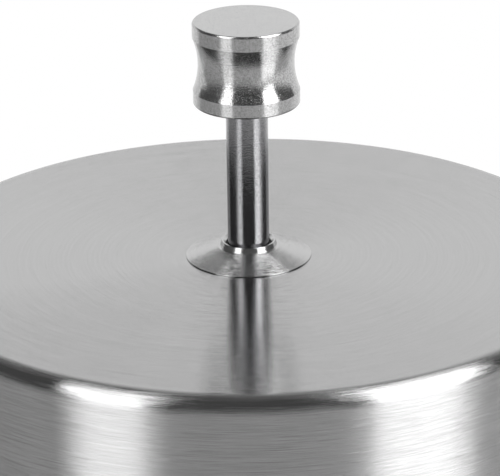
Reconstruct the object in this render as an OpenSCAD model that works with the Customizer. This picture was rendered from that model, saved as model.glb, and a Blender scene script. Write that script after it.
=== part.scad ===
// Push-knob burger press: a stainless drum that is its own mould ring, with a sprung plunger
// that presses the patty and pushes it out. Millimetres, +Z up, origin in the middle of the rim.

/* [Drum] */
// Inside diameter of the drum, which is the diameter of the patty
drum_bore = 100; // [70:1:140]
// Thickness of the drum's sheet steel
drum_wall = 0.8; // [0.6:0.1:1.6]
// Height of the drum from its rim to its flat top
drum_h = 70; // [68:1:120]
// Outer radius of the rounded shoulder
shoulder_r = 2.4; // [2:0.2:10]
// Rounding of both edges of the rim
rim_round = 0.2; // [0.05:0.05:0.25]

/* [Plunger] */
// Diameter of the plunger rod
rod_d = 6; // [5:0.5:8]
// Bare rod between the collar and the knob with the plunger up
rod_show = 20.85; // [12:0.05:24]
// Gap left between the knob and the collar with the plunger down
knob_stop_gap = 0.75; // [0.2:0.05:2]
// Gap left under the plate with the plunger down
plate_rim_gap = 0.4; // [0.2:0.1:2]
// Small chamfer on the rod's ends
rod_chamfer = 0.3; // [0.1:0.1:0.5]

/* [Knob] */
// Diameter of the knob over its two bands
knob_d = 15.2; // [12:0.2:30]
// Height of the knob
knob_h = 12.1; // [11:0.1:24]
// Depth of the hollow round the knob's waist
knob_waist_depth = 0.75; // [0.3:0.05:1.5]
// Height of the straight band under the waist
knob_low_band = 2.1; // [1:0.1:3]
// Height of the straight band over the waist
knob_high_band = 2.2; // [1:0.1:3]
// Chamfer on the knob's top and bottom edges
knob_chamfer = 0.15; // [0.1:0.05:0.6]
// Step from the rod down to the threaded spigot in the knob
spigot_step = 0.5; // [0.3:0.1:1]
// Length of the threaded spigot
spigot_len = 8; // [5:0.5:9]
// Depth of the knob's hole past the spigot's end
spigot_spare = 0.8; // [0.3:0.1:1.5]

/* [Press plate] */
// Thickness of the press plate
plate_t = 2.5; // [2:0.1:5]
// Gap between the plate's edge and the drum's wall
plate_side_gap = 0.5; // [0.3:0.1:1.5]
// Rounding of the plate's edges
plate_round = 0.6; // [0.2:0.1:0.9]
// Height of the hub on the plate
hub_h = 5; // [4:0.5:8]
// Thickness of the hub's flange
hub_flange_t = 2; // [1.5:0.1:3.5]
// Wall of the hub's boss round the rod
hub_wall = 3.5; // [2:0.1:6]
// Width of the hub's flange beyond the boss
hub_lip = 5.5; // [2:0.5:12]
// Floor of the hub's socket, which the rod's end sits on
hub_floor = 1.2; // [0.8:0.1:2.5]
// Chamfer on the hub's boss
hub_chamfer = 0.5; // [0.2:0.1:1]

/* [Plate screw] */
// Diameter of the screw's thread
screw_d = 4; // [3:0.5:4.5]
// Length of the screw with its countersunk head
screw_len = 12; // [8:1:20]
// Width of the 45 degree head beyond the thread
screw_head_w = 2; // [1:0.1:2.2]
// Straight rim of the head
screw_head_rim = 0.2; // [0.1:0.05:0.3]
// How far the head lies above the plate's face
screw_recess = 0.1; // [0:0.05:0.2]
// Width across the flats of the hexagon socket
socket_af = 2.5; // [2:0.5:3]
// Depth of the hexagon socket
socket_depth = 1.6; // [1:0.1:2]
// Depth of the rod's tapped hole past the screw's end
tap_spare = 1.5; // [0.5:0.5:3]

/* [Guide barrel] */
// Wall of the barrel
barrel_wall = 1.5; // [1:0.1:3]
// Length of the narrow bore in the barrel's head, from the collar down
head_len = 7.65; // [6:0.05:14]
// Width of the flange beyond the barrel
flange_lip = 2; // [1.5:0.1:6]
// Height of the flange's edge
flange_edge = 0.15; // [0.1:0.05:1]
// Height of the flange at the collar's foot
flange_rise = 1.6; // [0.6:0.1:3]
// Width of the flat ring round the collar's foot
collar_step = 0.42; // [0.2:0.02:1]
// Height of the collar over the flange
collar_h = 0.75; // [0.5:0.05:4]
// How much wider the collar is at its foot than at its mouth, on each side
collar_taper = 0.26; // [0:0.02:1]
// Flat rim round the collar's mouth
collar_rim = 0.22; // [0.1:0.02:0.6]
// Width and depth of the 45 degree countersink in the collar's mouth
mouth_chamfer = 0.4; // [0.2:0.05:0.6]
// Gap between the rod and the lip of the collar's mouth
mouth_gap = 0.25; // [0.15:0.05:0.5]
// Thickness of the lip that keeps the liner in
mouth_lip = 0.4; // [0.2:0.1:1]
// Chamfer on the barrel's lower end
barrel_chamfer = 0.4; // [0.2:0.1:0.8]

/* [Barrel fasteners] */
// Thickness of the flat washer
washer_t = 1; // [0.5:0.1:2]
// Width of the washer's ring
washer_w = 5; // [3:0.5:9]
// Height of the hexagon nut
nut_h = 5; // [3:0.5:8]
// Least wall of the nut, at the middle of a flat
nut_wall = 2.5; // [1.5:0.1:5]
// Height of the 30 degree chamfer on the nut's corners
nut_chamfer = 0.5; // [0.2:0.1:0.8]
// Floor of the end cap
cap_floor = 2.5; // [1.5:0.1:4]
// Wall of the end cap
cap_wall = 2; // [1.5:0.1:4]
// Length of the end cap's thread on the barrel
cap_thread = 6; // [4:0.5:10]
// Depth of each of the two wrench flats on the end cap
cap_flat = 1; // [0.4:0.1:1.2]
// Height of the wrench flats
cap_flat_h = 5; // [3:0.5:6]

/* [Liners] */
// Wall of the liners
liner_wall = 0.5; // [0.4:0.05:1]
// Width of the liners' flanges beyond their wall
liner_lip = 0.3; // [0.2:0.05:1]
// Thickness of the liners' flanges
liner_flange_t = 0.8; // [0.5:0.1:1.5]

/* [Return spring] */
// Diameter of the spring's wire
wire_d = 0.8; // [0.6:0.05:1]
// Turns that work
active_turns = 7.5; // [5:0.5:8]
// Close turns at each end
end_turns = 1; // [0.5:0.5:1.5]
// Gap between the close turns
end_turn_gap = 0.5; // [0.45:0.05:0.8]
// Gap between the spring and the lower liner's flange inside it
spring_in_gap = 0.2; // [0.15:0.05:1]
// Gap between the spring and the barrel round it
spring_out_gap = 0.3; // [0.2:0.05:1]
// Thickness of the spring seat
seat_t = 1; // [0.6:0.1:2]
// Gap between the spring seat and the barrel
seat_side_gap = 0.3; // [0.2:0.05:0.6]
// Thickness of the retaining clip
clip_t = 0.7; // [0.5:0.1:1.2]
// Depth of the clip's groove in the rod
groove_depth = 0.5; // [0.3:0.05:0.7]
// How far the clip stands out of the rod
clip_out = 1.4; // [0.8:0.1:1.8]
// Width of the clip's open side as a part of the groove's diameter
clip_mouth = 0.85; // [0.6:0.05:0.9]
// Height of the free space between the clip and the upper liner
clip_gap = 0.5; // [0.3:0.1:2]

/* [Clearances] */
// Running clearance of the rod in the liners, on the radius
run_gap = 0.05; // [0.02:0.01:0.1]
// Clearance of seated pieces, on the radius
seat_gap = 0.02; // [0.01:0.01:0.05]
// Clearance of threads, which are drawn plain, on the radius
thread_gap = 0.05; // [0.02:0.01:0.1]
// Clearance of holes that a thread passes through, on the radius
pass_gap = 0.1; // [0.05:0.05:0.3]
// Gap between the hub and the end cap with the plunger up
hub_stop_gap = 0.3; // [0.2:0.1:1]

/* [Hidden] */

$fn = 96;
rings_per_turn = 8;
wire_sides = 6;
// Room past a face, so that a cut goes right through it
past = 1;

steel_satin = [0.78, 0.78, 0.78];
steel_turned = [0.74, 0.74, 0.75];
steel_polished = [0.62, 0.62, 0.63];
steel_plain = [0.70, 0.70, 0.68];
polymer_dark = [0.12, 0.12, 0.13];

// Radii, from the rod outwards
rod_r = rod_d / 2;
liner_bore_r = rod_r + run_gap;
liner_r = liner_bore_r + liner_wall;
liner_flange_r = liner_r + liner_lip;
// The wire runs straight from ring to ring, so the middle of each run lies nearer the axis than the rings
coil_r = (liner_flange_r + spring_in_gap + wire_d / 2) / cos(180 / rings_per_turn);
barrel_bore_r = coil_r + wire_d / 2 + spring_out_gap;
barrel_r = barrel_bore_r + barrel_wall;
flange_r = barrel_r + flange_lip;
mouth_r = rod_r + mouth_gap;
collar_top_r = mouth_r + mouth_chamfer + collar_rim;
collar_foot_r = collar_top_r + collar_taper;
nut_bore_r = barrel_r + thread_gap;
nut_flat_r = nut_bore_r + nut_wall;
cap_r = barrel_r + thread_gap + cap_wall;
pass_r = barrel_r + pass_gap;
hub_boss_r = rod_r + seat_gap + hub_wall;
groove_r = rod_r - groove_depth;
spigot_r = rod_r - spigot_step;
screw_r = screw_d / 2;
screw_head_r = screw_r + screw_head_w;
knob_r = knob_d / 2;
drum_in_r = drum_bore / 2;
drum_out_r = drum_in_r + drum_wall;
plate_r = drum_in_r - plate_side_gap;

// Heights with the plunger up, from the rim
stroke = rod_show - knob_stop_gap;
plate_z = stroke + plate_rim_gap;
hub_z = plate_z + plate_t;
rod_z = hub_z + hub_floor;
cap_z = hub_z + hub_h + hub_stop_gap;
barrel_z = cap_z + cap_floor;
drum_ceiling_z = drum_h - drum_wall;
washer_z = drum_ceiling_z - washer_t;
nut_z = washer_z - nut_h;
collar_z = drum_h + flange_rise;
collar_top_z = collar_z + collar_h;
head_z = collar_top_z - head_len;
clip_z = head_z - liner_flange_t - clip_gap - clip_t;
seat_z = clip_z - run_gap - seat_t;
knob_z = collar_top_z + rod_show;
knob_top_z = knob_z + knob_h;

// The spring fills the barrel from the end cap to the spring seat
spring_len = seat_z - run_gap - barrel_z;
end_pitch = wire_d + end_turn_gap;
active_pitch = (spring_len - wire_d - 2 * end_turns * end_pitch) / active_turns;
spring_turns = active_turns + 2 * end_turns;
spring_rings = ceil(spring_turns * rings_per_turn);

function coil_rise(turn) =
    turn <= end_turns ? turn * end_pitch
    : turn <= end_turns + active_turns ? end_turns * end_pitch + (turn - end_turns) * active_pitch
    : end_turns * end_pitch + active_turns * active_pitch
        + (turn - end_turns - active_turns) * end_pitch;

function coil_pitch(turn) =
    turn < end_turns || turn > end_turns + active_turns ? end_pitch : active_pitch;

function ring_turn(i) = spring_turns * i / spring_rings;

function ring_centre(i) = [
    coil_r * cos(360 * ring_turn(i)),
    coil_r * sin(360 * ring_turn(i)),
    barrel_z + wire_d / 2 + coil_rise(ring_turn(i))
];

// One ring of the wire, square to its run, with a corner at its lowest point
function ring_points(i) =
    let (
        a = 360 * ring_turn(i),
        slope = atan2(coil_pitch(ring_turn(i)), 2 * PI * coil_r),
        out = [cos(a), sin(a), 0],
        up = [sin(slope) * sin(a), -sin(slope) * cos(a), cos(slope)]
    )
    [for (k = [0 : wire_sides - 1])
        let (b = 360 * (k + 0.5) / wire_sides)
        ring_centre(i) + wire_d / 2 * (cos(b) * out + sin(b) * up)];

spring_points = [for (i = [0 : spring_rings]) each ring_points(i)];

// Two triangles for each side of each length of wire, and a fan over each end
spring_faces = [
    for (i = [0 : spring_rings - 1], k = [0 : wire_sides - 1])
        let (
            a = i * wire_sides + k,
            b = i * wire_sides + (k + 1) % wire_sides
        )
        each [[a, b, a + wire_sides], [b, b + wire_sides, a + wire_sides]],
    for (k = [1 : wire_sides - 2])
        let (last = spring_rings * wire_sides)
        each [[0, k + 1, k], [last, last + k, last + k + 1]]
];

// Least gap of the spring to itself, over the pairs of rings that are half a turn or more apart
spring_self_gap = min([
    for (i = [0 : spring_rings], j = [i + rings_per_turn / 2 : 1 : spring_rings])
        norm(ring_centre(i) - ring_centre(j)) - wire_d
]);

// Solid of revolution about Z of a closed outline of [radius, height] points
module turned(outline) {
    rotate_extrude()
        polygon(outline);
}

// Plain ring between two radii
module ring(inner_r, outer_r, z, h) {
    turned([[inner_r, z], [outer_r, z], [outer_r, z + h], [inner_r, z + h]]);
}

// Quarter of a disc about a centre, towards the signs of sx and sy
module quarter_disc(centre, r, sx, sy) {
    translate(centre)
        intersection() {
            circle(r);
            translate([sx < 0 ? -r - past : 0, sy < 0 ? -r - past : 0])
                square(r + past);
        }
}

// Half section of a round can with a rounded upper edge, from the axis to r
module can_section(r, z0, z1, edge_r) {
    translate([0, z0])
        square([r, z1 - z0 - edge_r]);
    translate([0, z1 - edge_r])
        square([r - edge_r, edge_r]);
    quarter_disc([r - edge_r, z1 - edge_r], edge_r, 1, 1);
}

// Flanged liner for the rod
module liner(wall_z, wall_h, flange_z) {
    ring(liner_bore_r, liner_r, wall_z, wall_h);
    ring(liner_bore_r, liner_flange_r, flange_z, liner_flange_t);
}

// Deep-drawn drum: side wall with a rounded rim, rounded shoulder, flat top with the guide's hole
module drum_shell() {
    color(steel_satin)
        rotate_extrude()
            difference() {
                union() {
                    difference() {
                        can_section(drum_out_r, rim_round, drum_h, shoulder_r);
                        translate([0, -past])
                            can_section(drum_in_r, 0, drum_ceiling_z + past, shoulder_r - drum_wall);
                    }
                    translate([drum_in_r + rim_round, 0])
                        square([drum_wall - 2 * rim_round, rim_round]);
                    quarter_disc([drum_in_r + rim_round, rim_round], rim_round, -1, -1);
                    quarter_disc([drum_out_r - rim_round, rim_round], rim_round, 1, -1);
                }
                translate([0, drum_ceiling_z - past])
                    square([pass_r, drum_wall + 2 * past]);
            }
}

// Turned guide: conical flange and collar over the drum's top, threaded barrel under it
module guide_barrel() {
    lip_z = collar_top_z - mouth_chamfer - mouth_lip;
    color(steel_turned)
        turned([
            [mouth_r, collar_top_z - mouth_chamfer],
            [mouth_r + mouth_chamfer, collar_top_z],
            [collar_top_r, collar_top_z],
            [collar_foot_r, collar_z],
            [collar_foot_r + collar_step, collar_z],
            [flange_r, drum_h + flange_edge],
            [flange_r, drum_h],
            [barrel_r, drum_h],
            [barrel_r, barrel_z + barrel_chamfer],
            [barrel_r - barrel_chamfer, barrel_z],
            [barrel_bore_r, barrel_z],
            [barrel_bore_r, head_z],
            [liner_r + seat_gap, head_z],
            [liner_r + seat_gap, lip_z],
            [mouth_r, lip_z]
        ]);
}

module barrel_washer() {
    color(steel_plain)
        ring(pass_r, pass_r + washer_w, washer_z, washer_t);
}

// Thin hexagon nut with turned corners
module barrel_nut() {
    corner_r = nut_flat_r / cos(30);
    slope = nut_chamfer / tan(30);
    color(steel_plain)
        difference() {
            intersection() {
                translate([0, 0, nut_z])
                    cylinder(r = corner_r, h = nut_h, $fn = 6);
                turned([
                    [0, nut_z],
                    [corner_r - slope, nut_z],
                    [corner_r, nut_z + nut_chamfer],
                    [corner_r, nut_z + nut_h - nut_chamfer],
                    [corner_r - slope, nut_z + nut_h],
                    [0, nut_z + nut_h]
                ]);
            }
            translate([0, 0, nut_z - past])
                cylinder(r = nut_bore_r, h = nut_h + 2 * past);
        }
}

// Screwed cap under the barrel, with a hole for the lower liner and two wrench flats
module barrel_end_cap() {
    bore_r = barrel_r + thread_gap;
    hole_r = liner_r + seat_gap;
    top_z = barrel_z + cap_thread;
    color(steel_turned)
        difference() {
            turned([
                [hole_r, cap_z],
                [cap_r, cap_z],
                [cap_r, top_z],
                [bore_r, top_z],
                [bore_r, barrel_z],
                [hole_r, barrel_z]
            ]);
            for (side = [0, 180])
                rotate([0, 0, side])
                    translate([cap_r - cap_flat, -cap_r, cap_z - past])
                        cube([cap_flat + past, 2 * cap_r, cap_flat_h + past]);
        }
}

module upper_liner() {
    color(polymer_dark)
        liner(head_z, head_len - mouth_chamfer - mouth_lip, head_z - liner_flange_t);
}

module lower_liner() {
    color(polymer_dark)
        liner(cap_z, cap_floor, barrel_z);
}

// Right-hand compression spring with close end turns, as one length of wire
module return_spring() {
    echo(str("return_spring: least gap to itself ", spring_self_gap, " mm"));
    color(steel_plain)
        polyhedron(points = spring_points, faces = spring_faces);
}

module spring_seat() {
    color(steel_plain)
        ring(rod_r + pass_gap, barrel_bore_r - seat_side_gap, seat_z, seat_t);
}

// C-shaped clip in the rod's groove
module retaining_clip() {
    mouth_w = 2 * groove_r * clip_mouth;
    color(steel_plain)
        difference() {
            ring(groove_r + seat_gap, rod_r + clip_out, clip_z, clip_t);
            translate([0, -mouth_w / 2, clip_z - past])
                cube([rod_r + clip_out + past, mouth_w, clip_t + 2 * past]);
        }
}

// Rod with a tapped lower end, the clip's groove and a threaded spigot for the knob
module plunger_rod() {
    tap_depth = plate_z + screw_recess + screw_len + tap_spare - rod_z;
    color(steel_polished)
        difference() {
            turned([
                [0, rod_z],
                [rod_r - rod_chamfer, rod_z],
                [rod_r, rod_z + rod_chamfer],
                [rod_r, clip_z - seat_gap],
                [groove_r, clip_z - seat_gap],
                [groove_r, clip_z + clip_t],
                [rod_r, clip_z + clip_t],
                [rod_r, knob_z],
                [spigot_r, knob_z],
                [spigot_r, knob_z + spigot_len - rod_chamfer],
                [spigot_r - rod_chamfer, knob_z + spigot_len],
                [0, knob_z + spigot_len]
            ]);
            translate([0, 0, rod_z - past])
                cylinder(r = screw_r + thread_gap, h = tap_depth + past);
        }
}

// Spool-shaped knob with a hollow waist between two straight bands and a tapped hole below
module knob() {
    low_z = knob_z + knob_low_band;
    high_z = knob_top_z - knob_high_band;
    half_waist = (high_z - low_z) / 2;
    waist_arc_r = (pow(half_waist, 2) + pow(knob_waist_depth, 2)) / (2 * knob_waist_depth);
    color(steel_turned)
        difference() {
            rotate_extrude()
                difference() {
                    polygon([
                        [0, knob_z],
                        [knob_r - knob_chamfer, knob_z],
                        [knob_r, knob_z + knob_chamfer],
                        [knob_r, knob_top_z - knob_chamfer],
                        [knob_r - knob_chamfer, knob_top_z],
                        [0, knob_top_z]
                    ]);
                    translate([knob_r - knob_waist_depth + waist_arc_r, low_z + half_waist])
                        circle(waist_arc_r, $fn = 360);
                }
            translate([0, 0, knob_z - past])
                cylinder(r = spigot_r + thread_gap, h = spigot_len + spigot_spare + past);
        }
}

// Flanged hub between the rod and the plate
module plate_hub() {
    socket_r = rod_r + seat_gap;
    flange_top_z = hub_z + hub_flange_t;
    top_z = hub_z + hub_h;
    color(steel_turned)
        turned([
            [screw_r + pass_gap, hub_z],
            [hub_boss_r + hub_lip, hub_z],
            [hub_boss_r + hub_lip, flange_top_z - hub_chamfer],
            [hub_boss_r + hub_lip - hub_chamfer, flange_top_z],
            [hub_boss_r, flange_top_z],
            [hub_boss_r, top_z - hub_chamfer],
            [hub_boss_r - hub_chamfer, top_z],
            [socket_r, top_z],
            [socket_r, rod_z],
            [screw_r + pass_gap, rod_z]
        ]);
}

// Flat plate with rounded edges and a countersunk hole in the middle
module press_plate() {
    sink_r = screw_head_r + thread_gap;
    sink_z = plate_z + screw_recess + screw_head_rim;
    hole_r = screw_r + pass_gap;
    color(steel_satin)
        difference() {
            rotate_extrude()
                union() {
                    translate([0, plate_z])
                        square([plate_r - plate_round, plate_t]);
                    translate([0, plate_z + plate_round])
                        square([plate_r, plate_t - 2 * plate_round]);
                    quarter_disc([plate_r - plate_round, plate_z + plate_t - plate_round], plate_round, 1, 1);
                    quarter_disc([plate_r - plate_round, plate_z + plate_round], plate_round, 1, -1);
                }
            turned([
                [0, plate_z - past],
                [sink_r, plate_z - past],
                [sink_r, sink_z],
                [hole_r, sink_z + sink_r - hole_r],
                [hole_r, plate_z + plate_t + past],
                [0, plate_z + plate_t + past]
            ]);
        }
}

// Countersunk screw with a hexagon socket
module plate_screw() {
    head_z = plate_z + screw_recess;
    cone_z = head_z + screw_head_rim;
    end_z = head_z + screw_len;
    socket_r = socket_af / 2 / cos(30);
    color(steel_plain)
        difference() {
            turned([
                [0, head_z],
                [screw_head_r, head_z],
                [screw_head_r, cone_z],
                [screw_r, cone_z + screw_head_w],
                [screw_r, end_z - rod_chamfer],
                [screw_r - rod_chamfer, end_z],
                [0, end_z]
            ]);
            translate([0, 0, head_z - past])
                cylinder(r = socket_r, h = socket_depth + past, $fn = 6);
        }
}

drum_shell();
guide_barrel();
barrel_washer();
barrel_nut();
barrel_end_cap();
upper_liner();
lower_liner();
return_spring();
spring_seat();
retaining_clip();
plunger_rod();
knob();
plate_hub();
press_plate();
plate_screw();
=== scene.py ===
"""Push-knob burger press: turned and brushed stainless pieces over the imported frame, and their studio."""
import math

import bmesh
import bpy
from mathutils import Matrix, Quaternion, Vector


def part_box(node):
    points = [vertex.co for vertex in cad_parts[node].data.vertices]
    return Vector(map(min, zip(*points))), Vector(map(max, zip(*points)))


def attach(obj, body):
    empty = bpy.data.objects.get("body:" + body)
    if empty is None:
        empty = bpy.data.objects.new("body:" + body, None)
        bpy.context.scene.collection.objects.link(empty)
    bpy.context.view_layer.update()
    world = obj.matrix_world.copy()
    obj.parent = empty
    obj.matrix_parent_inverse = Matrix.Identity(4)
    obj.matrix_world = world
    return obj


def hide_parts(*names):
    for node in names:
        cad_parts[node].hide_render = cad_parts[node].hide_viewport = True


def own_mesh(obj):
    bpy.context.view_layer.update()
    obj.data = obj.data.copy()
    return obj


bl_info = {
    "name": "Burger press",
    "version": (1, 0, 0),
    "blender": (4, 5, 0),
    "location": "View3D > Sidebar > Burger press",
    "description": "Models a push-knob burger press over its packed frame and lights it in a studio",
    "category": "Object",
}

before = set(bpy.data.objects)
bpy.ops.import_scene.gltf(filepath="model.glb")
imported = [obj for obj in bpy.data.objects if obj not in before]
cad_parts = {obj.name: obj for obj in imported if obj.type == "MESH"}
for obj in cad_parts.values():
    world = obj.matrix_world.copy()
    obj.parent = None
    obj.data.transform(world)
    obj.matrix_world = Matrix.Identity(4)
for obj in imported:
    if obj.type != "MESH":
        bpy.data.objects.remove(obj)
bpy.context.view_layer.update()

# Blender's lengths are metres
MM = 0.001
# Width of the camera's sensor, in mm as the focal length is
SENSOR_WIDTH = 36.0

# Largest turn between neighbouring points of a rounded edge
ARC_STEP = math.radians(7.5)
# Distance from a rounded edge at which a holding point keeps a straight run's shading flat
HOLD = 0.04 * MM
# Straight runs shorter than this need no holding points
HOLD_RUN = 6 * HOLD
# Edges that turn more than this are shaded as sharp
SHARP_ANGLE = math.radians(32)
# Points closer than this are one point
MERGE_DISTANCE = 1e-7

# Share of a pixel over which a bump is measured, small enough for lines finer than a pixel
BUMP_FILTER = 0.02
# Widths of the marks on the steel, some coarser than real ones, because finer marks would not show
GRAIN_WIDTH = 0.15 * MM
STREAK_WIDTH = 0.35 * MM
SCRATCH_WIDTH = 0.16 * MM
FLECK_WIDTH = 0.11 * MM
SPECK_WIDTH = 0.24 * MM
# Lengths of the marks round the Z axis, as shares of their radius
LINE_SWEEP = 0.25
STREAK_SWEEP = 0.5
SCRATCH_SWEEP = 0.12
# Values of the noise between which a mark goes from none to full
STREAK_RANGE = (0.3, 0.7)
SCRATCH_RANGE = (0.74, 0.8)
SPECK_RANGE = (0.4, 0.65)
FLECK_RANGE = (0.66, 1.0)
GRAIN_RANGE = (0.0, 1.0)
# How far streaks go below and above the steel's colour
STREAK_SHARE = 0.025
# How much of its own dark colour a scratch shows
SCRATCH_SHARE = 0.2
SCRATCH_COLOUR = "272727"
SPECK_COLOUR = "3F3F3F"
# How far up a face looks where its scratches and specks start to fade, and the shares left on a level face
FADE_START = 0.3
LEVEL_SCRATCHES = 0.2
LEVEL_SPECKS = 0.1
# Depths of the sheet's brush lines on its level top and on its side
TOP_BRUSHING = 0.014 * MM
SIDE_BRUSHING = 0.028 * MM
# How far up a face looks where the brush lines start to change
BRUSHING_CHANGE = 0.96
# Depths of the guide's feed lines on its collar and on its flange, and the radii between which they change
COLLAR_FEED = 0.003 * MM
FLANGE_FEED = 0.05 * MM
COLLAR_END = 4.5 * MM
FLANGE_START = 4.7 * MM
# Width of the grain that the mould leaves on the liners
ACETAL_GRAIN = 0.2 * MM

FLOOR_RADIUS = 4.0
# Distances to the right and back at which the floor turns to plain white; the third only fills the vector
FLOOR_WHITE = (0.29, 0.18, 1.0)
# Shares of those distances between which it turns
FLOOR_FADE = (0.9, 1.08)
# The wall of glowing cards round the camera's side, painted dark as shade: half its turn in degrees, its
# radius and its lower edge
WALL_REACH = 120
WALL_RADIUS = 1.35
WALL_FOOT = 2 * MM
# The hood of glowing cards over camera and press, painted dark as shade in front: its height, half its
# width, and its front and back edge
HOOD_HEIGHT = 1.6
HOOD_ASIDE = 2.5
HOOD_FRONT = 2.3
HOOD_BACK = 2.86
# Place over the floor where the hood's painted shade starts to turn to painted white light, which it is at
# its back edge
HOOD_DARK = 0.12
# How much further back the painted shade reaches towards both sides, and how much more so on the left
HOOD_SPREAD = 0.8
HOOD_SKEW = 0.6
# Distance of the softboxes, and the height on the drum's axis that they face
LAMP_DISTANCE = 1.05
LAMP_TARGET = 60 * MM
# Watts per square metre that give an area lamp a radiance of 1
LAMP_WATTS = 4

# Sockets of a Mix node that mixes colours
MIX_A = 6
MIX_B = 7
MIX_RESULT = 2


def bottom(node):
    """Lowest height of a CAD node."""
    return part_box(node)[0].z


def top(node):
    """Highest height of a CAD node."""
    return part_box(node)[1].z


def outer(node):
    """Outer radius of a CAD node that is turned about the Z axis."""
    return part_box(node)[1].x


def linear(hex_colour):
    """Linear RGBA of an sRGB hex colour."""
    srgb = [int(hex_colour[i:i + 2], 16) / 255 for i in (0, 2, 4)]
    rgb = [c / 12.92 if c <= 0.04045 else ((c + 0.055) / 1.055) ** 2.4 for c in srgb]
    return (*rgb, 1.0)


def length(name, description, default):
    """Property for a size in metres."""
    return bpy.props.FloatProperty(
        name=name, description=description, default=default, unit="LENGTH", precision=5)


def colour(name, description, hex_colour):
    """Property for a colour."""
    return bpy.props.FloatVectorProperty(
        name=name, description=description, default=linear(hex_colour), subtype="COLOR", size=4)


def turn(name, description, degrees):
    """Property for an angle."""
    return bpy.props.FloatProperty(
        name=name, description=description, default=math.radians(degrees), subtype="ANGLE")


class DrumSizes(bpy.types.PropertyGroup):
    """Sizes of the drum."""
    radius: length("Radius", "Outer radius of the drum", outer("drum_shell"))
    height: length("Height", "Height of the flat top over the rim", top("drum_shell"))
    wall: length("Wall", "Thickness of the sheet", 0.8 * MM)
    shoulder: length("Shoulder", "Outer radius of the rounded shoulder", 2.4 * MM)
    rim_round: length("Rim rounding", "Rounding of the rim's edges", 0.2 * MM)
    hole: length("Hole", "Radius of the hole for the guide", 7.117 * MM)


class GuideSizes(bpy.types.PropertyGroup):
    """Sizes of the guide barrel with its flange and collar."""
    flange: length("Flange radius", "Radius of the conical flange", outer("guide_barrel"))
    flange_edge: length("Flange edge", "Height of the flange's edge", 0.15 * MM)
    flange_undercut: length(
        "Flange undercut", "Height and width of the relief under the flange's edge", 0.07 * MM)
    flange_rise: length("Flange rise", "Height of the flange at the collar's foot", 1.6 * MM)
    collar_step: length("Collar step", "Radius of the flat ring round the collar's foot", 4.55 * MM)
    collar_foot: length("Collar foot", "Radius of the collar where it leaves the ring", 4.13 * MM)
    collar_fillet: length("Collar fillet", "Hollow rounding at the collar's foot", 0.12 * MM)
    collar_mouth: length("Collar mouth", "Radius of the collar at its mouth", 3.87 * MM)
    mouth: length("Mouth", "Radius of the opening round the rod", 3.25 * MM)
    countersink: length("Countersink", "Width and depth of the mouth's countersink", 0.4 * MM)
    lip: length("Lip", "Thickness of the lip that keeps the liner in", 0.4 * MM)
    head: length("Head", "Length of the narrow bore, from the mouth down", 7.65 * MM)
    liner_bore: length("Liner bore", "Radius of the bore that holds the liner", 3.57 * MM)
    barrel: length("Barrel", "Outer radius of the barrel", 7.017 * MM)
    barrel_bore: length("Barrel bore", "Radius of the bore round the spring", 5.517 * MM)
    end_chamfer: length("End chamfer", "Chamfer of the barrel's lower end", 0.4 * MM)
    top: length("Top", "Height of the collar's mouth", top("guide_barrel"))
    end: length("End", "Height of the barrel's lower end", bottom("guide_barrel"))
    edge: length("Edge break", "Rounding of the turned edges", 0.03 * MM)


class PlungerSizes(bpy.types.PropertyGroup):
    """Sizes of the rod and the knob."""
    rod: length("Rod", "Radius of the rod", outer("plunger_rod"))
    rod_end: length("Rod end", "Height of the rod's lower end", bottom("plunger_rod"))
    rod_chamfer: length("Rod chamfer", "Chamfer of the rod's ends", 0.3 * MM)
    tap: length("Tapped hole", "Radius of the rod's tapped hole", 2.05 * MM)
    tap_depth: length("Tapped depth", "Depth of the rod's tapped hole", 9.9 * MM)
    groove: length("Groove", "Radius of the rod in the clip's groove", 2.5 * MM)
    spigot: length("Spigot", "Radius of the spigot in the knob", 2.5 * MM)
    spigot_top: length("Spigot top", "Height of the spigot's end", top("plunger_rod"))
    knob: length("Knob", "Radius of the knob over its bands", outer("knob"))
    knob_low: length("Knob bottom", "Height of the knob's lower face", bottom("knob"))
    knob_high: length("Knob top", "Height of the knob's upper face", top("knob"))
    low_band: length("Low band", "Height of the straight band under the waist", 2.1 * MM)
    high_band: length("High band", "Height of the straight band over the waist", 2.2 * MM)
    waist: length("Waist", "Depth of the hollow round the waist", 0.75 * MM)
    chamfer: length("Chamfer", "Chamfer of the knob's edges", 0.22 * MM)
    chamfer_round: length("Chamfer rounding", "Rounding of the chamfer's edges", 0.22 * MM)
    hole_spare: length("Hole spare", "Depth of the knob's hole past the spigot", 0.8 * MM)
    hole_gap: length("Hole gap", "Clearance of the knob's hole round the spigot", 0.05 * MM)
    edge: length("Edge break", "Rounding of the turned edges", 0.05 * MM)


class PlateSizes(bpy.types.PropertyGroup):
    """Sizes of the press plate and its screw."""
    radius: length("Radius", "Radius of the press plate", outer("press_plate"))
    low: length("Lower face", "Height of the plate's lower face", bottom("press_plate"))
    high: length("Upper face", "Height of the plate's upper face", top("press_plate"))
    edge: length("Edge", "Rounding of the plate's edges", 0.6 * MM)
    hole: length("Hole", "Radius of the plate's screw hole", 2.1 * MM)
    sink: length("Countersink", "Radius of the plate's countersink", 4.05 * MM)
    sink_rim: length("Countersink rim", "Depth of the countersink's straight rim", 0.3 * MM)
    sink_edge: length("Countersink edge", "Rounding of the countersink's edge", 0.08 * MM)
    screw: length("Screw", "Radius of the screw's shank", 2 * MM)
    head: length("Head", "Radius of the screw's head", 4 * MM)
    head_rim: length("Head rim", "Height of the head's straight rim", 0.2 * MM)
    socket: length("Socket", "Width across the flats of the hexagon socket", 2.5 * MM)
    socket_depth: length("Socket depth", "Depth of the hexagon socket", 1.6 * MM)
    screw_face: length("Screw face", "Radius inside which the screw's face holds its socket", 1.8 * MM)
    screw_break: length("Edge break", "Rounding of the screw's head", 0.1 * MM)
    screw_end: length("Screw end", "Chamfer of the screw's end", 0.3 * MM)


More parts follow.
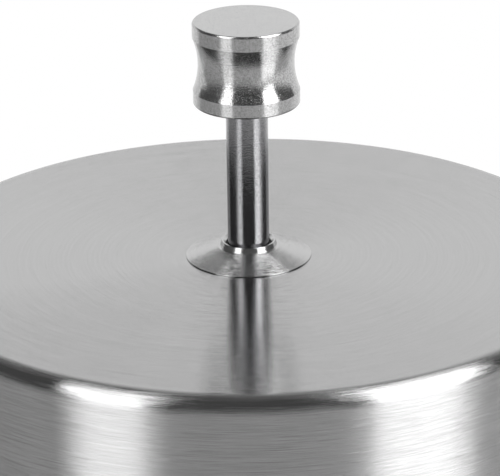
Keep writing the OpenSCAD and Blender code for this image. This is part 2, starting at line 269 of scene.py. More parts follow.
class SpringSizes(bpy.types.PropertyGroup):
    """Sizes of the return spring."""
    coil: length("Coil", "Radius of the coil at the middle of the wire", 4.75 * MM)
    wire: length("Wire", "Radius of the wire", 0.4 * MM)
    low: length("Lower end", "Height of the spring's lower end", 30.8 * MM)
    high: length("Upper end", "Height of the spring's upper end", 61.6 * MM)
    end_pitch: length("End pitch", "Rise of each close end turn", 1.3 * MM)
    active_turns: bpy.props.FloatProperty(
        name="Active turns", description="Turns between the close end turns", default=7.5)
    stroke: length("Stroke", "Travel of the plunger", 20.1 * MM)


class Finishes(bpy.types.PropertyGroup):
    """Colours of the materials."""
    sheet: colour("Sheet steel", "Brushed stainless sheet of the drum and plate", "B3B3B3")
    turned: colour("Turned steel", "Turned stainless of the knob and guide", "BEBEBE")
    polished: colour("Polished steel", "Polished stainless of the rod", "A0A0A2")
    fastener: colour("Fastener steel", "Cold-headed stainless of screw, nut and washers", "B0B0AE")
    wire: colour("Spring wire", "Drawn stainless wire", "A0A09E")
    polymer: colour("Liner polymer", "Dark acetal of the liners", "1E1F21")


class StudioSizes(bpy.types.PropertyGroup):
    """Camera, lamps and floor."""
    focal: bpy.props.FloatProperty(
        name="Focal length", description="Camera lens in mm", default=229.3, unit="CAMERA")
    distance: length("Distance", "From the camera to the middle of the drum's top", 460.1 * MM)
    elevation: turn("Elevation", "Height of the camera over the drum's top", 21.98)
    pan: turn("Pan", "Turn of the camera to the left", -0.022)
    tilt: turn("Tilt", "Turn of the camera upwards", 0.286)
    roll: turn("Roll", "Turn of the camera about its own line of sight", 0.79)
    floor: colour("Floor", "Pale floor", "F2F2F2")
    # Colour of the painted shade that the cards glow with, turning to painted white light towards the back
    flag: colour("Flag", "Dark studio flags", "5A5A5A")


class PressSettings(bpy.types.PropertyGroup):
    """Everything that a user would change."""
    drum: bpy.props.PointerProperty(type=DrumSizes)
    guide: bpy.props.PointerProperty(type=GuideSizes)
    plunger: bpy.props.PointerProperty(type=PlungerSizes)
    plate: bpy.props.PointerProperty(type=PlateSizes)
    spring: bpy.props.PointerProperty(type=SpringSizes)
    finish: bpy.props.PointerProperty(type=Finishes)
    studio: bpy.props.PointerProperty(type=StudioSizes)


def corner_arc(before, here, after, rounding):
    """Points of the arc that rounds one corner of an outline, or the corner itself."""
    if not rounding:
        return [here]
    back = (before - here).normalized()
    ahead = (after - here).normalized()
    half = back.angle(ahead) / 2
    reach = rounding / math.tan(half)
    centre = here + (back + ahead).normalized() * (rounding / math.sin(half))
    first = (here + back * reach - centre).normalized()
    last = (here + ahead * reach - centre).normalized()
    steps = max(2, math.ceil((math.pi - 2 * half) / ARC_STEP))
    return [centre + first.slerp(last, i / steps) * rounding for i in range(steps + 1)]


def rounded_outline(corners, closed):
    """Points of an outline from corners of (radius, height, rounding).

    An arc stands at each rounded corner, and two holding points on each long straight run keep its shading
    flat.
    """
    places = [Vector(corner[:2]) for corner in corners]
    count = len(corners)
    stretches = []
    for i, corner in enumerate(corners):
        open_end = not closed and i in (0, count - 1)
        rounding = 0 if open_end else corner[2]
        stretches.append(corner_arc(places[i - 1], places[i], places[(i + 1) % count], rounding))
    points = []
    for i, stretch in enumerate(stretches):
        points += stretch
        if not closed and i == count - 1:
            break
        run = stretches[(i + 1) % count][0] - stretch[-1]
        if run.length > HOLD_RUN:
            points.append(stretch[-1] + run.normalized() * HOLD)
            points.append(stretch[-1] + run - run.normalized() * HOLD)
    return points


def turned_form(corners, steps, closed=False):
    """Bmesh of an outline spun once round the Z axis, with closed seams and poles."""
    form = bmesh.new()
    verts = [form.verts.new((point.x, 0, point.y)) for point in rounded_outline(corners, closed)]
    edges = [form.edges.new(pair) for pair in zip(verts, verts[1:])]
    if closed:
        edges.append(form.edges.new((verts[-1], verts[0])))
    bmesh.ops.spin(
        form, geom=verts + edges, cent=(0, 0, 0), axis=(0, 0, 1), dvec=(0, 0, 0),
        angle=math.tau, steps=steps, use_merge=True)
    return form


def finished_piece(name, form, material, body, slot, *nodes):
    """Object made of a bmesh: merged, facing outwards, riding on its body in place of its CAD nodes."""
    bmesh.ops.remove_doubles(form, verts=form.verts, dist=MERGE_DISTANCE)
    bmesh.ops.recalc_face_normals(form, faces=form.faces)
    for face in form.faces:
        face.smooth = True
    mesh = bpy.data.meshes.new(name)
    form.to_mesh(mesh)
    form.free()
    mesh.set_sharp_from_angle(angle=SHARP_ANGLE)
    mesh.materials.append(material)
    piece = bpy.data.objects.new(name, mesh)
    bpy.context.scene.collection.objects.link(piece)
    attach(piece, body)
    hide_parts(*nodes)
    return piece


def dress(material, *nodes):
    """Gives CAD nodes that keep their own shape a finished material."""
    for node in nodes:
        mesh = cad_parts[node].data
        mesh.materials.clear()
        mesh.materials.append(material)


def add(tree, kind, inputs=None, **settings):
    """One node with its settings; inputs give a socket a value or another node's output."""
    node = tree.nodes.new(kind)
    for key, value in settings.items():
        setattr(node, key, value)
    for key, value in (inputs or {}).items():
        if isinstance(value, bpy.types.NodeSocket):
            tree.links.new(value, node.inputs[key])
        else:
            node.inputs[key].default_value = value
    return node


def blank_material(name):
    """New material with an empty node tree."""
    material = bpy.data.materials.new(name)
    material.use_nodes = True
    material.node_tree.nodes.clear()
    return material, material.node_tree


def axis_distance(tree):
    """Distance of a point from the Z axis, and the point moved down to the floor."""
    place = add(tree, "ShaderNodeTexCoord").outputs["Object"]
    flat = add(
        tree, "ShaderNodeVectorMath", {0: place, 1: (1, 1, 0)}, operation="MULTIPLY").outputs["Vector"]
    return add(tree, "ShaderNodeVectorMath", {0: flat}, operation="LENGTH").outputs["Value"], flat


def lathe_noise(tree, width, sweep, detail):
    """Noise in lines that run round the Z axis, about `width` wide and `sweep` of their radius long."""
    place = add(tree, "ShaderNodeTexCoord").outputs["Object"]
    height = add(tree, "ShaderNodeSeparateXYZ", {0: place}).outputs["Z"]
    radius, flat = axis_distance(tree)
    heading = add(tree, "ShaderNodeVectorMath", {0: flat}, operation="NORMALIZE").outputs["Vector"]
    sides = add(tree, "ShaderNodeSeparateXYZ", {0: heading}).outputs
    across, along, east, north = (
        add(tree, "ShaderNodeMath", {0: value, 1: 1 / step}, operation="MULTIPLY").outputs[0]
        for value, step in ((radius, width), (height, width), (sides["X"], sweep), (sides["Y"], sweep)))
    vector = add(tree, "ShaderNodeCombineXYZ", {"X": across, "Y": along, "Z": east}).outputs[0]
    return add(
        tree, "ShaderNodeTexNoise",
        {"Vector": vector, "W": north, "Scale": 1.0, "Detail": detail, "Roughness": 0.6},
        noise_dimensions="4D").outputs["Fac"]


def upward(tree):
    """How far a face looks up: 1 where it is level, 0 where it is upright."""
    facing = add(tree, "ShaderNodeNewGeometry").outputs["Normal"]
    return add(tree, "ShaderNodeSeparateXYZ", {0: facing}).outputs["Z"]


def fainter_on_top(tree, mark, share):
    """A mark that keeps only a share of its strength on level faces."""
    aside = add(
        tree, "ShaderNodeMapRange",
        {"Value": upward(tree), "From Min": FADE_START, "To Min": 1.0, "To Max": share}).outputs["Result"]
    return add(tree, "ShaderNodeMath", {0: mark, 1: aside}, operation="MULTIPLY").outputs[0]


def lathe_steel(name, base, roughness, stretch, line, depth, grain=0.0, flecks=0.0, specks=0.0):
    """Stainless steel with lines of a width and depth round the Z axis.

    The lines' bump smears highlights across them, and the stretch draws highlights out the same way. The
    depth is a length, or a function that gives it from the node tree. Grain and flecks are depths of bumps
    that break up the edges of highlights, and specks is how much of their dark colour the specks show.
    """
    material, tree = blank_material(name)
    lines = lathe_noise(tree, line, LINE_SWEEP, 1.0)
    normal = add(
        tree, "ShaderNodeBump",
        {"Strength": 1.0, "Distance": depth(tree) if callable(depth) else depth,
         "Filter Width": BUMP_FILTER, "Height": lines}).outputs["Normal"]
    if grain:
        normal = grain_bump(tree, GRAIN_WIDTH, GRAIN_RANGE, grain, normal)
    if flecks:
        normal = grain_bump(tree, FLECK_WIDTH, FLECK_RANGE, flecks, normal)
    tint = streaked(tree, base)
    if specks:
        tint = specked(tree, tint, specks)
    tangent = add(tree, "ShaderNodeTangent", direction_type="RADIAL", axis="Z").outputs["Tangent"]
    surface = add(
        tree, "ShaderNodeBsdfPrincipled",
        {"Base Color": tint, "Metallic": 1.0, "Roughness": roughness,
         "Normal": normal, "Tangent": tangent, "Anisotropic": stretch, "Anisotropic Rotation": 0.25})
    add(tree, "ShaderNodeOutputMaterial", {"Surface": surface.outputs["BSDF"]})
    return material


def grain_bump(tree, width, span, depth, normal):
    """Normal with an even grain, or with flecks where the noise's span starts high, on top of the lines."""
    place = add(tree, "ShaderNodeTexCoord").outputs["Object"]
    noise = add(
        tree, "ShaderNodeTexNoise", {"Vector": place, "Scale": 1 / width, "Detail": 1.0}).outputs["Fac"]
    speck = add(
        tree, "ShaderNodeMapRange",
        {"Value": noise, "From Min": span[0], "From Max": span[1]}).outputs["Result"]
    return add(
        tree, "ShaderNodeBump",
        {"Strength": 1.0, "Distance": depth, "Filter Width": BUMP_FILTER, "Height": speck, "Normal": normal}
    ).outputs["Normal"]


def streaked(tree, base):
    """Colour with faint dark and light streaks and a few dark scratches, which level faces show less."""
    dark, light = ((*(c * share for c in base[:3]), 1.0) for share in (1 - STREAK_SHARE, 1 + STREAK_SHARE))
    streaks = lathe_noise(tree, STREAK_WIDTH, STREAK_SWEEP, 3.0)
    spread = add(
        tree, "ShaderNodeMapRange",
        {"Value": streaks, "From Min": STREAK_RANGE[0], "From Max": STREAK_RANGE[1]}).outputs["Result"]
    tint = add(
        tree, "ShaderNodeMix", {0: spread, MIX_A: dark, MIX_B: light},
        data_type="RGBA").outputs[MIX_RESULT]
    marks = lathe_noise(tree, SCRATCH_WIDTH, SCRATCH_SWEEP, 0.0)
    scratch = add(
        tree, "ShaderNodeMapRange",
        {"Value": marks, "From Min": SCRATCH_RANGE[0], "From Max": SCRATCH_RANGE[1],
         "To Max": SCRATCH_SHARE}).outputs["Result"]
    return add(
        tree, "ShaderNodeMix",
        {0: fainter_on_top(tree, scratch, LEVEL_SCRATCHES), MIX_A: tint, MIX_B: linear(SCRATCH_COLOUR)},
        data_type="RGBA").outputs[MIX_RESULT]


def specked(tree, tint, share):
    """Colour with fine dark specks, which a level face hardly has."""
    place = add(tree, "ShaderNodeTexCoord").outputs["Object"]
    noise = add(
        tree, "ShaderNodeTexNoise",
        {"Vector": place, "Scale": 1 / SPECK_WIDTH, "Detail": 2.0}).outputs["Fac"]
    speck = add(
        tree, "ShaderNodeMapRange",
        {"Value": noise, "From Min": SPECK_RANGE[0], "From Max": SPECK_RANGE[1],
         "To Max": share}).outputs["Result"]
    return add(
        tree, "ShaderNodeMix",
        {0: fainter_on_top(tree, speck, LEVEL_SPECKS), MIX_A: tint, MIX_B: linear(SPECK_COLOUR)},
        data_type="RGBA").outputs[MIX_RESULT]


def brushing_depth(tree):
    """Depth of the sheet's brush lines, deeper on the side than on the level top."""
    return add(
        tree, "ShaderNodeMapRange",
        {"Value": upward(tree), "From Min": BRUSHING_CHANGE, "To Min": SIDE_BRUSHING,
         "To Max": TOP_BRUSHING}).outputs["Result"]


def feed_depth(tree):
    """Depth of the guide's feed lines, fine on the collar and coarse on the flange."""
    return add(
        tree, "ShaderNodeMapRange",
        {"Value": axis_distance(tree)[0], "From Min": COLLAR_END, "From Max": FLANGE_START,
         "To Min": COLLAR_FEED, "To Max": FLANGE_FEED}).outputs["Result"]


def brushed_sheet(finish):
    """Stainless sheet brushed while it turns: reflections stay sharp along the lines and smear across."""
    return lathe_steel(
        "stainless_sheet_brushed", finish.sheet, roughness=0.11, stretch=1.0, line=0.04 * MM,
        depth=brushing_depth)


def turned_bar(finish):
    """Stainless bar as it leaves the lathe: fine feed lines round each form."""
    return lathe_steel(
        "stainless_bar_turned", finish.turned, roughness=0.24, stretch=0.6, line=0.07 * MM, depth=0.006 * MM)


def turned_guide(finish):
    """Turned stainless guide: a bright collar, and a flange whose coarse feed lines draw reflections out."""
    return lathe_steel(
        "stainless_guide_turned", finish.turned, roughness=0.2, stretch=0.5, line=0.05 * MM,
        depth=feed_depth)


def satin_knob(finish):
    """Turned stainless, lightly blasted: soft highlights with a grainy edge."""
    return lathe_steel(
        "stainless_knob_satin", finish.turned, roughness=0.16, stretch=0.3, line=0.07 * MM, depth=0.006 * MM,
        grain=0.007 * MM, flecks=0.05 * MM, specks=0.32)


def polished_bar(finish):
    """Ground and polished stainless rod: nearly a mirror, with faint lines round it."""
    return lathe_steel(
        "stainless_rod_polished", finish.polished, roughness=0.12, stretch=0.5, line=0.06 * MM,
        depth=0.005 * MM, grain=0.016 * MM, specks=0.3)


def headed_fastener(finish):
    """Cold-headed stainless, tumbled bright: a soft even shine."""
    return lathe_steel(
        "stainless_fastener_tumbled", finish.fastener, roughness=0.3, stretch=0.2, line=0.2 * MM,
        depth=0.004 * MM)


def drawn_wire(finish):
    """Drawn stainless wire: a dull shine."""
    return lathe_steel(
        "stainless_wire_drawn", finish.wire, roughness=0.35, stretch=0.0, line=0.1 * MM, depth=0.003 * MM)


def moulded_acetal(finish):
    """Dark acetal as moulded: low waxy shine with a faint grain."""
    material, tree = blank_material("acetal_moulded")
    place = add(tree, "ShaderNodeTexCoord").outputs["Object"]
    grain = add(
        tree, "ShaderNodeTexNoise",
        {"Vector": place, "Scale": 1 / ACETAL_GRAIN, "Detail": 2.0}).outputs["Fac"]
    rough = add(tree, "ShaderNodeMapRange", {"Value": grain, "To Min": 0.35, "To Max": 0.55})
    bump = add(tree, "ShaderNodeBump", {"Strength": 0.5, "Distance": 0.005 * MM, "Height": grain})
    surface = add(
        tree, "ShaderNodeBsdfPrincipled",
        {"Base Color": tuple(finish.polymer), "IOR": 1.48, "Roughness": rough.outputs["Result"],
         "Normal": bump.outputs["Normal"]})
    add(tree, "ShaderNodeOutputMaterial", {"Surface": surface.outputs["BSDF"]})
    return material


# The materials made so far, by their makers' names
MATERIALS = {}


def made_once(maker):
    """The material that a maker gives, made at its first use."""
    name = maker.__name__
    if name not in MATERIALS:
        MATERIALS[name] = maker(bpy.context.scene.burger_press.finish)
    return MATERIALS[name]


class PRESS_OT_drum(bpy.types.Operator):
    """Spin the drum: flat top, rounded shoulder, side wall and rim"""
    bl_idname = "burger_press.drum"
    bl_label = "Drum"

    def execute(self, context):
        drum = context.scene.burger_press.drum
        inner = drum.radius - drum.wall
        ceiling = drum.height - drum.wall
        form = turned_form([
            (drum.hole, ceiling, 0),
            (drum.hole, drum.height, 0),
            (drum.radius, drum.height, drum.shoulder),
            (drum.radius, 0, drum.rim_round),
            (inner, 0, drum.rim_round),
            (inner, ceiling, drum.shoulder - drum.wall),
        ], steps=360, closed=True)
        finished_piece(
            "drum_shell_brushed", form, made_once(brushed_sheet), "drum", "drum_steel", "drum_shell")
        return {"FINISHED"}


class PRESS_OT_guide(bpy.types.Operator):
    """Spin the guide: conical flange, collar, mouth and barrel"""
    bl_idname = "burger_press.guide"
    bl_label = "Guide"

    def execute(self, context):
        guide = context.scene.burger_press.guide
        seat = context.scene.burger_press.drum.height
        lip = guide.top - guide.countersink - guide.lip
        form = turned_form([
            (guide.mouth, guide.top - guide.countersink, guide.edge),
            (guide.mouth + guide.countersink, guide.top, guide.edge),
            (guide.collar_mouth, guide.top, guide.edge),
            (guide.collar_foot, seat + guide.flange_rise, guide.collar_fillet),
            (guide.collar_step, seat + guide.flange_rise, guide.edge),
            (guide.flange, seat + guide.flange_edge, 0),
            (guide.flange, seat + guide.flange_undercut, 0),
            (guide.flange - guide.flange_undercut, seat, 0),
            (guide.barrel, seat, 0),
            (guide.barrel, guide.end + guide.end_chamfer, 0),
            (guide.barrel - guide.end_chamfer, guide.end, 0),
            (guide.barrel_bore, guide.end, 0),
            (guide.barrel_bore, guide.top - guide.head, 0),
            (guide.liner_bore, guide.top - guide.head, 0),
            (guide.liner_bore, lip, 0),
            (guide.mouth, lip, 0),
        ], steps=192, closed=True)
        finished_piece(
            "guide_barrel_turned", form, made_once(turned_guide), "drum", "turned_steel", "guide_barrel")
        return {"FINISHED"}


class PRESS_OT_rod(bpy.types.Operator):
    """Spin the rod with its tapped hole, clip groove and spigot"""
    bl_idname = "burger_press.rod"
    bl_label = "Rod"

    def execute(self, context):
        plunger = context.scene.burger_press.plunger
        clip_low = bottom("retaining_clip")
        clip_high = top("retaining_clip")
        tap_end = plunger.rod_end + plunger.tap_depth
        form = turned_form([
            (0, tap_end, 0),
            (plunger.tap, tap_end, 0),
            (plunger.tap, plunger.rod_end, 0),
            (plunger.rod - plunger.rod_chamfer, plunger.rod_end, 0),
            (plunger.rod, plunger.rod_end + plunger.rod_chamfer, 0),
            (plunger.rod, clip_low, 0),
            (plunger.groove, clip_low, 0),
            (plunger.groove, clip_high, 0),
            (plunger.rod, clip_high, 0),
            (plunger.rod, plunger.knob_low, 0),
            (plunger.spigot, plunger.knob_low, 0),
            (plunger.spigot, plunger.spigot_top - plunger.rod_chamfer, 0),
            (plunger.spigot - plunger.rod_chamfer, plunger.spigot_top, 0),
            (0, plunger.spigot_top, 0),
        ], steps=160)
        finished_piece(
            "plunger_rod_polished", form, made_once(polished_bar), "plunger", "rod_steel", "plunger_rod")
        return {"FINISHED"}


def waist_corners(plunger, low, high, steps=24):
    """Corners of the knob's hollow waist, on one arc between its two bands."""
    half = (high - low) / 2
    arc = (half ** 2 + plunger.waist ** 2) / (2 * plunger.waist)
    reach = math.asin(half / arc)
    middle = plunger.knob - plunger.waist + arc
    angles = [reach * (2 * i / steps - 1) for i in range(steps + 1)]
    corners = [(middle - arc * math.cos(a), low + half + arc * math.sin(a), 0) for a in angles]
    corners[0] = (*corners[0][:2], plunger.edge)
    corners[-1] = (*corners[-1][:2], plunger.edge)
    return corners


class PRESS_OT_knob(bpy.types.Operator):
    """Spin the spool-shaped knob"""
    bl_idname = "burger_press.knob"
    bl_label = "Knob"

    def execute(self, context):
        plunger = context.scene.burger_press.plunger
        hole = plunger.spigot + plunger.hole_gap
        hole_end = plunger.spigot_top + plunger.hole_spare
        form = turned_form([
            (0, hole_end, 0),
            (hole, hole_end, 0),
            (hole, plunger.knob_low, 0),
            (plunger.knob - plunger.chamfer, plunger.knob_low, plunger.chamfer_round),
            (plunger.knob, plunger.knob_low + plunger.chamfer, plunger.chamfer_round),
            *waist_corners(
                plunger, plunger.knob_low + plunger.low_band, plunger.knob_high - plunger.high_band),
            (plunger.knob, plunger.knob_high - plunger.chamfer, plunger.chamfer_round),
            (plunger.knob - plunger.chamfer, plunger.knob_high, plunger.chamfer_round),
            (0, plunger.knob_high, 0),
        ], steps=192)
        finished_piece("knob_turned", form, made_once(satin_knob), "plunger", "turned_steel", "knob")
        return {"FINISHED"}


class PRESS_OT_plate(bpy.types.Operator):
    """Spin the press plate with its rounded edge and countersunk hole"""
    bl_idname = "burger_press.plate"
    bl_label = "Press plate"

    def execute(self, context):
        plate = context.scene.burger_press.plate
        sink_end = plate.low + plate.sink_rim
        form = turned_form([
            (plate.sink, plate.low, plate.sink_edge),
            (plate.radius, plate.low, plate.edge),
            (plate.radius, plate.high, plate.edge),
            (plate.hole, plate.high, 0),
            (plate.hole, sink_end + plate.sink - plate.hole, 0),
            (plate.sink, sink_end, 0),
        ], steps=240, closed=True)
        finished_piece(
            "press_plate_brushed", form, made_once(brushed_sheet), "plunger", "drum_steel", "press_plate")
        return {"FINISHED"}


class PRESS_OT_screw(bpy.types.Operator):
    """Spin the countersunk screw and sink its hexagon socket"""
    bl_idname = "burger_press.screw"
    bl_label = "Plate screw"

    def execute(self, context):
        plate = context.scene.burger_press.plate
        low = bottom("plate_screw")
        high = top("plate_screw")
        cone = low + plate.head_rim
        per_side = 12
        form = turned_form([
            (plate.screw_face, low, 0),
            (plate.head, low, plate.screw_break),
            (plate.head, cone, 0),
            (plate.screw, cone + plate.head - plate.screw, 0),
            (plate.screw, high - plate.screw_end, 0),
            (plate.screw - plate.screw_end, high, 0),
            (0, high, 0),
        ], steps=6 * per_side)
        bmesh.ops.remove_doubles(form, verts=form.verts, dist=MERGE_DISTANCE)
        rim = [edge for edge in form.edges if edge.is_boundary]
        corner = plate.socket / math.sqrt(3)
        hexagon = bmesh.ops.create_circle(
            form, segments=6, radius=corner, matrix=Matrix.Translation((0, 0, low)))["verts"]
        sides = list({edge for vert in hexagon for edge in vert.link_edges})
        bmesh.ops.subdivide_edges(form, edges=sides, cuts=per_side - 1)
        mouth = [edge for edge in form.edges if edge.is_wire]
        bmesh.ops.bridge_loops(form, edges=rim + mouth)
        walls = bmesh.ops.extrude_edge_only(form, edges=mouth)["geom"]
        floor = [item for item in walls if isinstance(item, bmesh.types.BMVert)]
        bmesh.ops.translate(form, verts=floor, vec=(0, 0, plate.socket_depth))
        floor_rim = [item for item in walls if isinstance(item, bmesh.types.BMEdge) and item.is_boundary]
        bmesh.ops.contextual_create(form, geom=floor_rim)
        finished_piece(
            "plate_screw_headed", form, made_once(headed_fastener),
            "plunger", "fastener_steel", "plate_screw")
        return {"FINISHED"}


class PRESS_OT_spring(bpy.types.Operator):
    """Spin the return spring's wire up its coil"""
    bl_idname = "burger_press.spring"
    bl_label = "Return spring"

    def execute(self, context):
        spring = context.scene.burger_press.spring
        per_turn = 40
        rise = spring.high - spring.low - 2 * spring.wire - 2 * spring.end_pitch
        active_pitch = rise / spring.active_turns
        form = bmesh.new()
        start = Matrix.Translation((spring.coil, 0, spring.low + spring.wire))
        stand = start @ Matrix.Rotation(math.pi / 2, 4, "X")
        ring = bmesh.ops.create_circle(form, segments=14, radius=spring.wire, matrix=stand)["verts"]
        last = ring + list({edge for vert in ring for edge in vert.link_edges})
        bmesh.ops.contextual_create(form, geom=last)
        end_turn = (1, spring.end_pitch)
        for turns, pitch in (end_turn, (spring.active_turns, active_pitch), end_turn):
            last = bmesh.ops.spin(
                form, geom=last, cent=(0, 0, 0), axis=(0, 0, 1), dvec=(0, 0, pitch / per_turn),
                angle=math.tau * turns, steps=round(per_turn * turns))["geom_last"]
            last = [item for item in last if not isinstance(item, bmesh.types.BMFace)]
        bmesh.ops.contextual_create(form, geom=last)
        piece = finished_piece(
            "return_spring_wire", form, made_once(drawn_wire), "drum", "spring_steel", "return_spring")
        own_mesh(piece)
        return {"FINISHED"}


class PRESS_OT_inner_pieces(bpy.types.Operator):
    """Give the pieces hidden in the drum their finishes"""
    bl_idname = "burger_press.inner_pieces"
    bl_label = "Inner pieces"

    def execute(self, context):
        dress(made_once(turned_bar), "barrel_end_cap", "plate_hub")
        dress(made_once(headed_fastener), "barrel_washer", "barrel_nut", "spring_seat")
        dress(made_once(drawn_wire), "retaining_clip")
        dress(made_once(moulded_acetal), "upper_liner", "lower_liner")
        return {"FINISHED"}


def seen_by_eye(tree):
    """1 for rays of the camera, of reflections and through glass, 0 for rays that only light a surface."""
    path = add(tree, "ShaderNodeLightPath")
    direct = add(
        tree, "ShaderNodeMath",
        {0: path.outputs["Is Camera Ray"], 1: path.outputs["Is Glossy Ray"]}, operation="MAXIMUM").outputs[0]
    return add(
        tree, "ShaderNodeMath",
        {0: direct, 1: path.outputs["Is Transmission Ray"]}, operation="MAXIMUM").outputs[0]


def floor_material(studio):
    """Pale satin floor that keeps the object's shadow in front and turns to plain white behind it.

    Its high IOR lets it mirror about a third of the light. Seen from below it is clear, and it stays clear
    for light that goes on from there into the mould.
    """
    material, tree = blank_material("studio_floor_satin")
    place = add(tree, "ShaderNodeTexCoord").outputs["Object"]
    behind = add(
        tree, "ShaderNodeVectorMath", {0: place, 1: (0, 0, 0)}, operation="MAXIMUM").outputs["Vector"]
    reach = add(
        tree, "ShaderNodeVectorMath", {0: behind, 1: FLOOR_WHITE}, operation="DIVIDE").outputs["Vector"]
    depth = add(tree, "ShaderNodeVectorMath", {0: reach}, operation="LENGTH").outputs["Value"]
    far = add(
        tree, "ShaderNodeMapRange",
        {"Value": depth, "From Min": FLOOR_FADE[0], "From Max": FLOOR_FADE[1]},
        interpolation_type="SMOOTHSTEP").outputs["Result"]
    share = add(tree, "ShaderNodeMath", {0: far, 1: seen_by_eye(tree)}, operation="MULTIPLY").outputs[0]
    satin = add(
        tree, "ShaderNodeBsdfPrincipled",
        {"Base Color": tuple(studio.floor), "Roughness": 0.15, "IOR": 4.0}).outputs["BSDF"]
    white = add(tree, "ShaderNodeEmission", {"Color": linear("FFFFFF"), "Strength": 1.0}).outputs[0]
    seen = add(tree, "ShaderNodeMixShader", {0: share, 1: satin, 2: white}).outputs[0]
    under = add(tree, "ShaderNodeNewGeometry").outputs["Backfacing"]
    passed = add(tree, "ShaderNodeLightPath").outputs["Transparent Depth"]
    below = add(
        tree, "ShaderNodeMath", {0: under, 1: passed}, operation="ADD", use_clamp=True).outputs[0]
    clear = add(tree, "ShaderNodeBsdfTransparent").outputs[0]
    both = add(tree, "ShaderNodeMixShader", {0: below, 1: seen, 2: clear}).outputs[0]
    add(tree, "ShaderNodeOutputMaterial", {"Surface": both})
    return material


def stage_object(name, form, material):
    """Object of the stage, which isn't part of the press."""
    mesh = bpy.data.meshes.new(name)
    form.to_mesh(mesh)
    form.free()
    mesh.materials.append(material)
    thing = bpy.data.objects.new(name, mesh)
    bpy.context.scene.collection.objects.link(thing)
    return thing


def white_world():
    """Plain white surroundings, at half strength where they only light a surface."""
    world = bpy.data.worlds.new("studio_white")
    bpy.context.scene.world = world
    world.use_nodes = True
    tree = world.node_tree
    tree.nodes.clear()
    strength = add(
        tree, "ShaderNodeMapRange",
        {"Value": seen_by_eye(tree), "To Min": 0.5, "To Max": 1.0}).outputs["Result"]
    shade = add(tree, "ShaderNodeBackground", {"Color": linear("FFFFFF"), "Strength": strength}).outputs[0]
    add(tree, "ShaderNodeOutputWorld", {"Surface": shade})


def around(azimuth, distance, height):
    """Point at an azimuth from the camera's side, in degrees to the right, and a height."""
    heading = math.radians(azimuth)
    return Vector((math.sin(heading) * distance, -math.cos(heading) * distance, height))


def softbox(name, azimuth, elevation, roll, width, tall, radiance):
    """Area lamp of an even radiance that faces the drum, with its angles in degrees."""
    lamp = bpy.data.lights.new(name, "AREA")
    lamp.shape = "RECTANGLE"
    lamp.size = width
    lamp.size_y = tall
    lamp.energy = radiance * LAMP_WATTS * width * tall
    box = bpy.data.objects.new(name, lamp)
    target = Vector((0, 0, LAMP_TARGET))
    rise = math.radians(elevation)
    box.location = target + around(azimuth, LAMP_DISTANCE * math.cos(rise), LAMP_DISTANCE * math.sin(rise))
    box.rotation_mode = "QUATERNION"
    facing = (target - box.location).to_track_quat("-Z", "Y")
    box.rotation_quaternion = facing @ Quaternion((0, 0, 1), math.radians(roll))
    box.visible_camera = False
    bpy.context.scene.collection.objects.link(box)


def photo_camera(studio, target):
    """Camera at the photograph's viewing angle."""
    back = Vector((0, -math.cos(studio.elevation), math.sin(studio.elevation)))
    sight = -back
    right = Vector((1, 0, 0))
    up = right.cross(sight)
    for angle, axis in ((studio.pan, up), (studio.tilt, right), (studio.roll, sight)):
        spin = Matrix.Rotation(angle, 3, axis)
        right, up, sight = spin @ right, spin @ up, spin @ sight
    data = bpy.data.cameras.new("photo_camera")
    data.sensor_width = SENSOR_WIDTH
    data.sensor_fit = "HORIZONTAL"
    data.lens = studio.focal
    data.clip_start = 10 * MM
    camera = bpy.data.objects.new("photo_camera", data)
    camera.matrix_world = Matrix.Translation(target + back * studio.distance) @ Matrix(
        (right, up, -sight)).transposed().to_4x4()
    bpy.context.scene.collection.objects.link(camera)
    bpy.context.scene.camera = camera


def glowing_card_material(name, shade):
    """Card that glows with its own light: painted shade of dark grey, which turns to painted white light
    towards the back of the studio.
    """
    material, tree = blank_material(name)
    place = add(tree, "ShaderNodeTexCoord").outputs["Object"]
    sides = add(tree, "ShaderNodeSeparateXYZ", {0: place}).outputs
    aside = add(tree, "ShaderNodeMath", {0: sides["X"]}, operation="ABSOLUTE").outputs[0]
    depth = sides["Y"]
    for way, slope in ((aside, -HOOD_SPREAD), (sides["X"], HOOD_SKEW)):
        depth = add(
            tree, "ShaderNodeMath", {0: way, 1: slope, 2: depth}, operation="MULTIPLY_ADD").outputs[0]
    light = add(
        tree, "ShaderNodeMapRange", {"Value": depth, "From Min": HOOD_DARK, "From Max": HOOD_BACK},
        interpolation_type="SMOOTHSTEP").outputs["Result"]
    tint = add(
        tree, "ShaderNodeMix", {0: light, MIX_A: tuple(shade), MIX_B: linear("FFFFFF")},
        data_type="RGBA").outputs[MIX_RESULT]
    glow = add(tree, "ShaderNodeEmission", {"Color": tint, "Strength": 1.0}).outputs[0]
    add(tree, "ShaderNodeOutputMaterial", {"Surface": glow})
    return material


def card_wall(material):
    """Wall of cards round the camera's side of the floor, up to the hood."""
    form = bmesh.new()
    post = [form.verts.new(around(-WALL_REACH, WALL_RADIUS, height)) for height in (WALL_FOOT, HOOD_HEIGHT)]
    form.edges.new(post)
    bmesh.ops.spin(
        form, geom=post + form.edges[:], cent=(0, 0, 0), axis=(0, 0, 1), dvec=(0, 0, 0),
        angle=math.radians(2 * WALL_REACH), steps=60)
    return stage_object("studio_flag_wall", form, material)


def card_hood(material):
    """Hood of cards over the camera and the press."""
    form = bmesh.new()
    middle = Matrix.Translation((0, (HOOD_BACK - HOOD_FRONT) / 2, HOOD_HEIGHT))
    spread = Matrix.Diagonal((HOOD_ASIDE, (HOOD_BACK + HOOD_FRONT) / 2, 1, 1))
    bmesh.ops.create_grid(form, x_segments=1, y_segments=1, size=1.0, matrix=middle @ spread)
    return stage_object("studio_flag_ceiling", form, material)


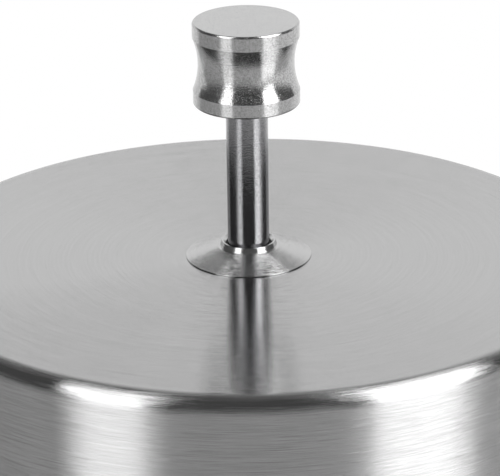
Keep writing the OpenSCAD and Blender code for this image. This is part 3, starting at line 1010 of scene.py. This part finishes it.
class PRESS_OT_studio(bpy.types.Operator):
    """Set up the camera, the floor, the glowing cards of painted shade and light, the softboxes and the
    white surroundings
    """
    bl_idname = "burger_press.studio"
    bl_label = "Studio"

    def execute(self, context):
        studio = context.scene.burger_press.studio
        photo_camera(studio, Vector((0, 0, context.scene.burger_press.drum.height)))
        form = bmesh.new()
        bmesh.ops.create_circle(form, cap_ends=True, segments=128, radius=FLOOR_RADIUS)
        stage_object("studio_floor", form, floor_material(studio))
        # The cards glow with painted shade in front and painted light at the back, unseen by the camera
        card = glowing_card_material("studio_glowing_card", studio.flag)
        for hidden in (card_wall(card), card_hood(card)):
            hidden.visible_camera = False
        softbox("softbox_left", azimuth=-50.5, elevation=35, roll=18, width=0.46, tall=1.75, radiance=2.1)
        softbox("softbox_right", azimuth=62.5, elevation=36, roll=-23, width=0.61, tall=1.72, radiance=3.1)
        white_world()
        context.scene.view_settings.view_transform = "Standard"
        return {"FINISHED"}


OPERATORS = (
    PRESS_OT_studio, PRESS_OT_drum, PRESS_OT_guide, PRESS_OT_rod, PRESS_OT_knob, PRESS_OT_plate,
    PRESS_OT_screw, PRESS_OT_spring, PRESS_OT_inner_pieces,
)


class PRESS_PT_sidebar(bpy.types.Panel):
    """Buttons that make the press and its studio"""
    bl_idname = "PRESS_PT_sidebar"
    bl_label = "Burger press"
    bl_space_type = "VIEW_3D"
    bl_region_type = "UI"
    bl_category = "Burger press"

    def draw(self, context):
        for operator in OPERATORS:
            self.layout.operator(operator.bl_idname)


CLASSES = (
    DrumSizes, GuideSizes, PlungerSizes, PlateSizes, SpringSizes, Finishes, StudioSizes, PressSettings,
    *OPERATORS, PRESS_PT_sidebar,
)


def register():
    """Registers every class and the scene's settings."""
    for each in CLASSES:
        bpy.utils.register_class(each)
    bpy.types.Scene.burger_press = bpy.props.PointerProperty(type=PressSettings)


def unregister():
    """Removes the settings and every class."""
    del bpy.types.Scene.burger_press
    for each in reversed(CLASSES):
        bpy.utils.unregister_class(each)


def main():
    register()
    press = bpy.ops.burger_press
    press.studio()
    press.drum()
    press.guide()
    press.rod()
    press.knob()
    press.plate()
    press.screw()
    press.spring()
    press.inner_pieces()


if __name__ == "__main__":
    main()
